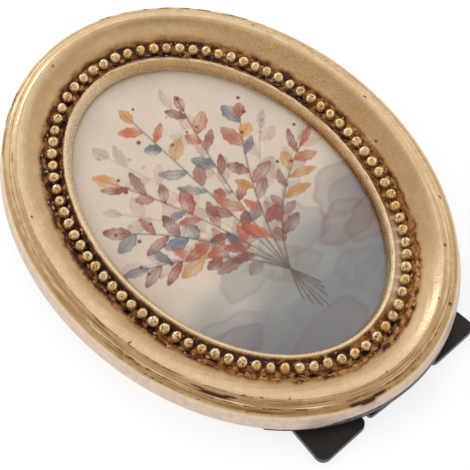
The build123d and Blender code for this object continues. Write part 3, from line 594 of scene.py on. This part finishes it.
# Pieces that stand for solids
points, faces, attributes = moulding_surface()
moulding = make_piece("moulding_gilded", points, faces, gilt_material(), "frame", attributes)
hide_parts("moulding")
points, faces, attributes = bead_surfaces()
beads = make_piece("bead_row_gilded", points, faces, bead_material(), "frame", attributes)
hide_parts("bead_row")
points, faces, inks = print_surface()
print_sheet = make_piece("print_sheet", points, faces, print_material(), "frame", colours={"ink": inks})
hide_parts("print")

# Finishes of the solids that show as they are
# The black stand board's grey edges are partly a painted highlight
stand_black = board_material("black_coated_hardboard", "#1D1B1E", "#29272A", "#4A4749", 2.5, 0.5)
back_brown = board_material("brown_fibre_board", "#33291F", "#453829", "#3A332C", 3.0, 0.7)
card_grey = board_material("grey_filler_card", "#8E8678", "#A39A8A", "#8E8678", 1.5, 0.85)
brass = metal_material("rolled_brass", "#C9A356", "#A68447", 0.32, (0.15, 1.0, 1.0))
steel = metal_material("zinc_plated_steel", "#B9BBBD", "#8D8F92", 0.3, (1.0, 1.0, 0.2))
finishes = {
    "glass": glass_material(), "filler_card": card_grey, "back_board": back_brown,
    "stand_board": stand_black, "easel_leg": stand_black, "stand_screws": steel, "turn_button_screws": steel,
    "hinge_fixed_leaf": brass, "hinge_leg_leaf": brass, "hinge_pin": steel,
    "hinge_fixed_rivets": brass, "hinge_leg_rivets": brass,
}
finishes.update({f"turn_button_{row}_{hand}": brass for row in ("upper", "lower") for hand in ("left", "right")})
for node, finish in finishes.items():
    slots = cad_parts[node].data.materials
    slots.clear()
    slots.append(finish)

# Floor
floor_mesh = bpy.data.meshes.new("floor")
half = 3.0
floor_mesh.from_pydata([(-half, -half, 0), (half, -half, 0), (half, half, 0), (-half, half, 0)], [], [(0, 1, 2, 3)])
floor = bpy.data.objects.new("floor", floor_mesh)
floor.location.z = -0.0001
bpy.context.scene.collection.objects.link(floor)
pale, tree = new_material("white_paper_sweep")
path = add(tree, "ShaderNodeLightPath").outputs
seen = add(tree, "ShaderNodeMath", {0: path["Is Camera Ray"], 1: path["Is Glossy Ray"]}, operation="MAXIMUM")
seen = add(tree, "ShaderNodeMath", {0: seen.outputs[0], 1: path["Is Transmission Ray"]}, operation="MAXIMUM")
lit = add(tree, "ShaderNodeBsdfDiffuse", {"Color": linear("#9A9A9A")})
glow = add(tree, "ShaderNodeEmission", {"Color": linear("#FFFFFF"), "Strength": 0.76})
both = add(tree, "ShaderNodeAddShader", {0: lit.outputs[0], 1: glow.outputs[0]})
plain = add(tree, "ShaderNodeBsdfDiffuse", {"Color": linear("#E4E4E4")})
sweep = add(tree, "ShaderNodeMixShader", {0: seen.outputs[0], 1: plain.outputs[0], 2: both.outputs[0]})
add(tree, "ShaderNodeOutputMaterial", {0: sweep.outputs[0]})
floor_mesh.materials.append(pale)

# World: white to the eye and in mirrors, softer as light
world = bpy.data.worlds.new("studio")
bpy.context.scene.world = world
world.use_nodes = True
world.node_tree.nodes.clear()
tree = world.node_tree
path = add(tree, "ShaderNodeLightPath").outputs
seen = add(tree, "ShaderNodeMath", {0: path["Is Camera Ray"], 1: path["Is Glossy Ray"]}, operation="MAXIMUM")
seen = add(tree, "ShaderNodeMath", {0: seen.outputs[0], 1: path["Is Transmission Ray"]}, operation="MAXIMUM")
soft = add(tree, "ShaderNodeBackground", {"Color": linear("#FFFFFF"), "Strength": 0.55})
white = add(tree, "ShaderNodeBackground", {"Color": linear("#FFFFFF"), "Strength": 1.0})
sky = add(tree, "ShaderNodeMixShader", {0: seen.outputs[0], 1: soft.outputs[0], 2: white.outputs[0]})
add(tree, "ShaderNodeOutputWorld", {0: sky.outputs[0]})


def soft_box(name, turn, rise, distance, size, power, mirrored):
    """A square lamp that looks at the middle of the frame from a turn round it and a height above it."""
    data = bpy.data.lights.new(name, "AREA")
    data.shape, data.size, data.energy = "SQUARE", size, power
    lamp = bpy.data.objects.new(name, data)
    a, e = math.radians(turn), math.radians(rise)
    lamp.location = (
        distance * math.sin(a) * math.cos(e), -distance * math.cos(a) * math.cos(e), distance * math.sin(e))
    lamp.rotation_euler = (math.pi / 2 - e, 0, a)
    lamp.visible_camera = lamp.visible_transmission = False
    lamp.visible_glossy = mirrored
    bpy.context.scene.collection.objects.link(lamp)


soft_box("far_softbox", 137, 48, 1.0, 0.7, 2.6, False)
soft_box("left_softbox", 227, 40, 1.0, 0.6, 1.4, False)
soft_box("near_softbox", -60, 25, 1.0, 0.6, 1.4, False)
soft_box("small_window", 176, 30, 0.7, 0.16, 0.2, True)


def flag_surface(turn, rise, radius, spread):
    """A cap of a sphere about the frame: points at up to the spread's angle from the way that turn and rise point."""
    a, e = math.radians(turn), math.radians(rise)
    back = np.array([math.sin(a) * math.cos(e), -math.cos(a) * math.cos(e), math.sin(e)])
    right = np.array([math.cos(a), math.sin(a), 0])
    up = np.cross(back, right)
    polar, about = np.meshgrid(np.linspace(0.001, math.radians(spread), 12), np.arange(48) / 48 * 2 * np.pi, indexing="ij")
    way = np.cos(polar)[..., None] * back + np.sin(polar)[..., None] * (
        np.cos(about)[..., None] * right + np.sin(about)[..., None] * up)
    return (radius * way).reshape(-1, 3), grid_faces(12, 48, False, True)


CAMERA_PLACE = (-0.208229, -0.230126, 0.58442)

# Brown cloth over the table, seen only in the metal and the glass: it glows by emission though it is no lamp, dark
# about the camera and thinning out to its rim, which lies nearer at its sides
CLOTH_TURN, CLOTH_RISE, CLOTH_RADIUS, CLOTH_SPREAD = -50, 60, 0.75, 96
cap, quads = flag_surface(CLOTH_TURN, CLOTH_RISE, CLOTH_RADIUS, CLOTH_SPREAD)
cloth, tree = new_material("glowing_brown_cloth")
where = add(tree, "ShaderNodeTexCoord").outputs["Object"]
side = (math.cos(math.radians(CLOTH_TURN)), math.sin(math.radians(CLOTH_TURN)), 0.0)
off = add(tree, "ShaderNodeVectorMath", {0: where, 1: tuple(cap[0])}, operation="SUBTRACT").outputs[0]
sideways = add(tree, "ShaderNodeVectorMath", {0: off, 1: side}, operation="DOT_PRODUCT").outputs["Value"]
sideways = add(tree, "ShaderNodeMath", {0: sideways, 1: sideways}, operation="MULTIPLY").outputs[0]
square = add(tree, "ShaderNodeVectorMath", {0: off, 1: off}, operation="DOT_PRODUCT").outputs["Value"]
square = add(tree, "ShaderNodeMath", {0: sideways, 1: 0.6, 2: square}, operation="MULTIPLY_ADD").outputs[0]
off = add(tree, "ShaderNodeMath", {0: square}, operation="SQRT").outputs[0]
rim = 2 * CLOTH_RADIUS * math.sin(math.radians(CLOTH_SPREAD) / 2)
thin = add(tree, "ShaderNodeMapRange", {0: off, 1: 0.68 * rim, 2: rim}, interpolation_type="SMOOTHSTEP").outputs[0]
eye = tuple(CLOTH_RADIUS * np.array(CAMERA_PLACE) / np.linalg.norm(CAMERA_PLACE))
aside = add(tree, "ShaderNodeVectorMath", {0: where, 1: eye}, operation="DISTANCE").outputs["Value"]
shade = add(tree, "ShaderNodeMapRange", {0: aside, 1: 0.06, 2: 0.2, 3: 0.3, 4: 1.0}, interpolation_type="SMOOTHSTEP")
lit = add(tree, "ShaderNodeEmission", {"Color": linear("#BFB09D"), "Strength": shade.outputs[0]})
clear = add(tree, "ShaderNodeBsdfTransparent")
mixed = add(tree, "ShaderNodeMixShader", {0: thin, 1: lit.outputs[0], 2: clear.outputs[0]})
add(tree, "ShaderNodeOutputMaterial", {0: mixed.outputs[0]})
flag_mesh = bpy.data.meshes.new("overhead_cloth")
flag_mesh.from_pydata(cap, [], quads)
flag_mesh.materials.append(cloth)
flag = bpy.data.objects.new("overhead_cloth", flag_mesh)
bpy.context.scene.collection.objects.link(flag)
flag.visible_camera = flag.visible_diffuse = flag.visible_shadow = flag.visible_transmission = False

# Camera where the photographer stood: turned 42.7 degrees to the left of the picture's foot and 62.6 degrees up
CAMERA_TURN, CAMERA_RISE = -42.743, 62.635
camera_data = bpy.data.cameras.new("camera")
camera_data.sensor_width, camera_data.lens = 36.0, 129.63
camera = bpy.data.objects.new("camera", camera_data)
camera.location = CAMERA_PLACE
camera.rotation_euler = (math.radians(90 - CAMERA_RISE), 0, math.radians(CAMERA_TURN))
bpy.context.scene.collection.objects.link(camera)
bpy.context.scene.camera = camera
bpy.context.scene.view_settings.view_transform = "Standard"
